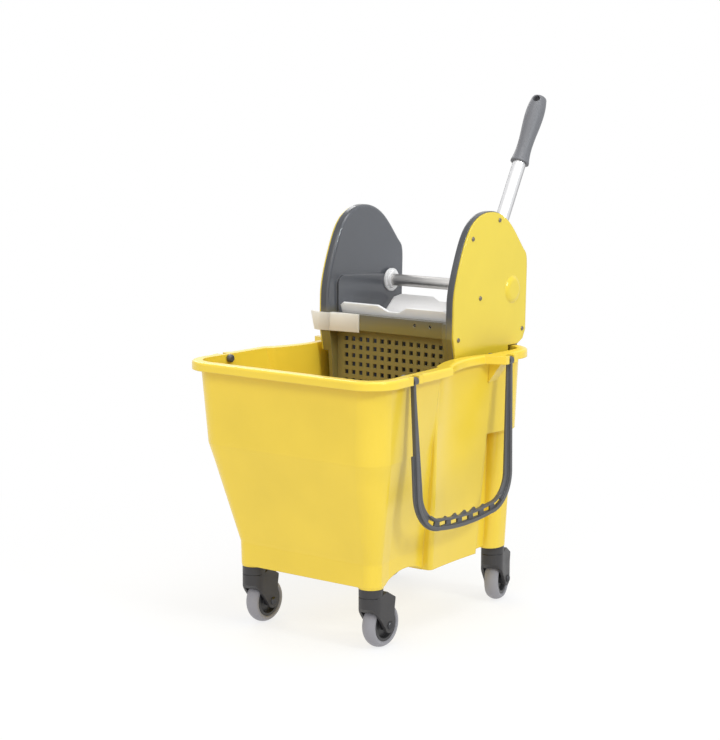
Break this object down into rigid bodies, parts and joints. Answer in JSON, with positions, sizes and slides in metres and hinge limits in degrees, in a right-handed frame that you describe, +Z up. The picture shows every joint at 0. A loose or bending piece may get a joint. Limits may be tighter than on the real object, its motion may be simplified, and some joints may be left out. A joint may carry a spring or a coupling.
{
  "type": "mop bucket trolley with down-press wringer",
  "caption": "Wheeled mop bucket with a lift-off down-press wringer: a lever turns geared flaps that squeeze a mop over a drained basket.",
  "frame": {"origin": "on the floor, midway between the four caster swivels", "axes": "+X to the right seen from the front, -Y to the front, +Z up"},
  "size_m": [0.411, 0.6575, 0.8678],
  "materials": {
    "yellow_plastic": "satin moulded polypropylene",
    "dark_plastic": "satin moulded plastic",
    "bail_plastic": "fine grain",
    "steel": "zinc plated",
    "shaft_steel": "drawn tube, light brushing",
    "white_plastic": "satin",
    "gear_plastic": "natural nylon",
    "guard_plastic": "satin cream",
    "socket_plastic": "fine grain",
    "tube_aluminium": "bright drawn",
    "grip_plastic": "fine grain",
    "fork_plastic": "fine grain",
    "hub_plastic": "fine grain",
    "tyre_rubber": "matt grey, non-marking"
  },
  "bodies": {
    "tub": {"bucket": "yellow_plastic", "bail_pins": "steel", "bail_caps": "bail_plastic", "front_left_caster_stem": "steel", "front_right_caster_stem": "steel", "rear_left_caster_stem": "steel", "rear_right_caster_stem": "steel"},
    "wringer": {"right_cheek": "dark_plastic", "left_cheek": "dark_plastic", "right_cover": "yellow_plastic", "left_cover": "yellow_plastic", "right_cover_screws": "steel", "left_cover_screws": "steel", "right_shaft_bush": "white_plastic", "left_shaft_bush": "white_plastic", "idler_pins": "steel", "front_band": "dark_plastic", "front_screen": "dark_plastic", "rear_screen": "dark_plastic", "basket_floor": "dark_plastic", "corner_guard": "guard_plastic"},
    "lever": {"cross_shaft": "shaft_steel", "drive_gears": "gear_plastic", "handle_socket": "socket_plastic", "handle_tube": "tube_aluminium", "handle_bolt": "steel", "handle_grip": "grip_plastic"},
    "right_idler": {"right_idler_gear": "gear_plastic"},
    "left_idler": {"left_idler_gear": "gear_plastic"},
    "right_reverser": {"right_reverser_gear": "gear_plastic"},
    "left_reverser": {"left_reverser_gear": "gear_plastic"},
    "rear_press": {"rear_flap": "white_plastic", "rear_flap_gears": "gear_plastic", "rear_hinge_rod": "steel"},
    "front_press": {"front_flap": "white_plastic", "front_flap_gears": "gear_plastic", "front_hinge_rod": "steel"},
    "right_handle": {"right_bail": "bail_plastic"},
    "left_handle": {"left_bail": "bail_plastic"},
    "front_left_swivel": {"front_left_caster_fork": "fork_plastic", "front_left_caster_axle": "steel"},
    "front_left_wheel": {"front_left_caster_hub": "hub_plastic", "front_left_caster_tyre": "tyre_rubber"},
    "front_right_swivel": {"front_right_caster_fork": "fork_plastic", "front_right_caster_axle": "steel"},
    "front_right_wheel": {"front_right_caster_hub": "hub_plastic", "front_right_caster_tyre": "tyre_rubber"},
    "rear_left_swivel": {"rear_left_caster_fork": "fork_plastic", "rear_left_caster_axle": "steel"},
    "rear_left_wheel": {"rear_left_caster_hub": "hub_plastic", "rear_left_caster_tyre": "tyre_rubber"},
    "rear_right_swivel": {"rear_right_caster_fork": "fork_plastic", "rear_right_caster_axle": "steel"},
    "rear_right_wheel": {"rear_right_caster_hub": "hub_plastic", "rear_right_caster_tyre": "tyre_rubber"}
  },
  "joints": [
    {"name": "wringer_lift", "type": "slide", "parent": "tub", "child": "wringer", "axis": [0, 0, 1], "range_m": [0, 0.2]},
    {"name": "lever_press", "type": "hinge", "parent": "wringer", "child": "lever", "pos_m": [0, 0.2, 0.544], "axis": [1, 0, 0], "range_deg": [0, 95]},
    {"name": "right_idler_turn", "type": "hinge", "parent": "wringer", "child": "right_idler", "pos_m": [0.13, 0.15291, 0.52441], "axis": [1, 0, 0], "range_deg": [-106.88, 0]},
    {"name": "right_reverser_turn", "type": "hinge", "parent": "wringer", "child": "right_reverser", "pos_m": [0.13, 0.11281, 0.48825], "axis": [1, 0, 0], "range_deg": [0, 85.5]},
    {"name": "left_idler_turn", "type": "hinge", "parent": "wringer", "child": "left_idler", "pos_m": [-0.13, 0.15291, 0.52441], "axis": [1, 0, 0], "range_deg": [-106.88, 0]},
    {"name": "left_reverser_turn", "type": "hinge", "parent": "wringer", "child": "left_reverser", "pos_m": [-0.13, 0.11281, 0.48825], "axis": [1, 0, 0], "range_deg": [0, 85.5]},
    {"name": "rear_flap_swing", "type": "hinge", "parent": "wringer", "child": "rear_press", "pos_m": [0, 0.172, 0.487], "axis": [1, 0, 0], "range_deg": [0, 142.5]},
    {"name": "front_flap_swing", "type": "hinge", "parent": "wringer", "child": "front_press", "pos_m": [0, 0.066, 0.468], "axis": [1, 0, 0], "range_deg": [-122.14, 0]},
    {"name": "right_bail_swing", "type": "hinge", "parent": "tub", "child": "right_handle", "pos_m": [0.195, -0.0295, 0.4395], "axis": [0, -1, 0], "range_deg": [0, 180]},
    {"name": "left_bail_swing", "type": "hinge", "parent": "tub", "child": "left_handle", "pos_m": [-0.195, -0.0295, 0.4395], "axis": [0, 1, 0], "range_deg": [0, 180]},
    {"name": "front_left_caster_swivel", "type": "hinge", "parent": "tub", "child": "front_left_swivel", "pos_m": [-0.1207, -0.1753, 0.09], "axis": [0, 0, 1], "continuous": true},
    {"name": "front_left_wheel_roll", "type": "hinge", "parent": "front_left_swivel", "child": "front_left_wheel", "pos_m": [-0.1207, -0.1503, 0.0375], "axis": [1, 0, 0], "continuous": true},
    {"name": "front_right_caster_swivel", "type": "hinge", "parent": "tub", "child": "front_right_swivel", "pos_m": [0.1207, -0.1753, 0.09], "axis": [0, 0, 1], "continuous": true},
    {"name": "front_right_wheel_roll", "type": "hinge", "parent": "front_right_swivel", "child": "front_right_wheel", "pos_m": [0.1207, -0.1503, 0.0375], "axis": [1, 0, 0], "continuous": true},
    {"name": "rear_left_caster_swivel", "type": "hinge", "parent": "tub", "child": "rear_left_swivel", "pos_m": [-0.1207, 0.1753, 0.09], "axis": [0, 0, 1], "continuous": true},
    {"name": "rear_left_wheel_roll", "type": "hinge", "parent": "rear_left_swivel", "child": "rear_left_wheel", "pos_m": [-0.1207, 0.2003, 0.0375], "axis": [1, 0, 0], "continuous": true},
    {"name": "rear_right_caster_swivel", "type": "hinge", "parent": "tub", "child": "rear_right_swivel", "pos_m": [0.1207, 0.1753, 0.09], "axis": [0, 0, 1], "continuous": true},
    {"name": "rear_right_wheel_roll", "type": "hinge", "parent": "rear_right_swivel", "child": "rear_right_wheel", "pos_m": [0.11423, 0.19945, 0.0375], "axis": [0.9659, 0.2588, 0], "continuous": true}
  ],
  "couplings": [
    {"joint": "right_idler_turn", "follows": "lever_press", "ratio": -1.125},
    {"joint": "right_reverser_turn", "follows": "lever_press", "ratio": 0.9},
    {"joint": "left_idler_turn", "follows": "lever_press", "ratio": -1.125},
    {"joint": "left_reverser_turn", "follows": "lever_press", "ratio": 0.9},
    {"joint": "rear_flap_swing", "follows": "lever_press", "ratio": 1.5},
    {"joint": "front_flap_swing", "follows": "lever_press", "ratio": -1.2857}
  ]
}
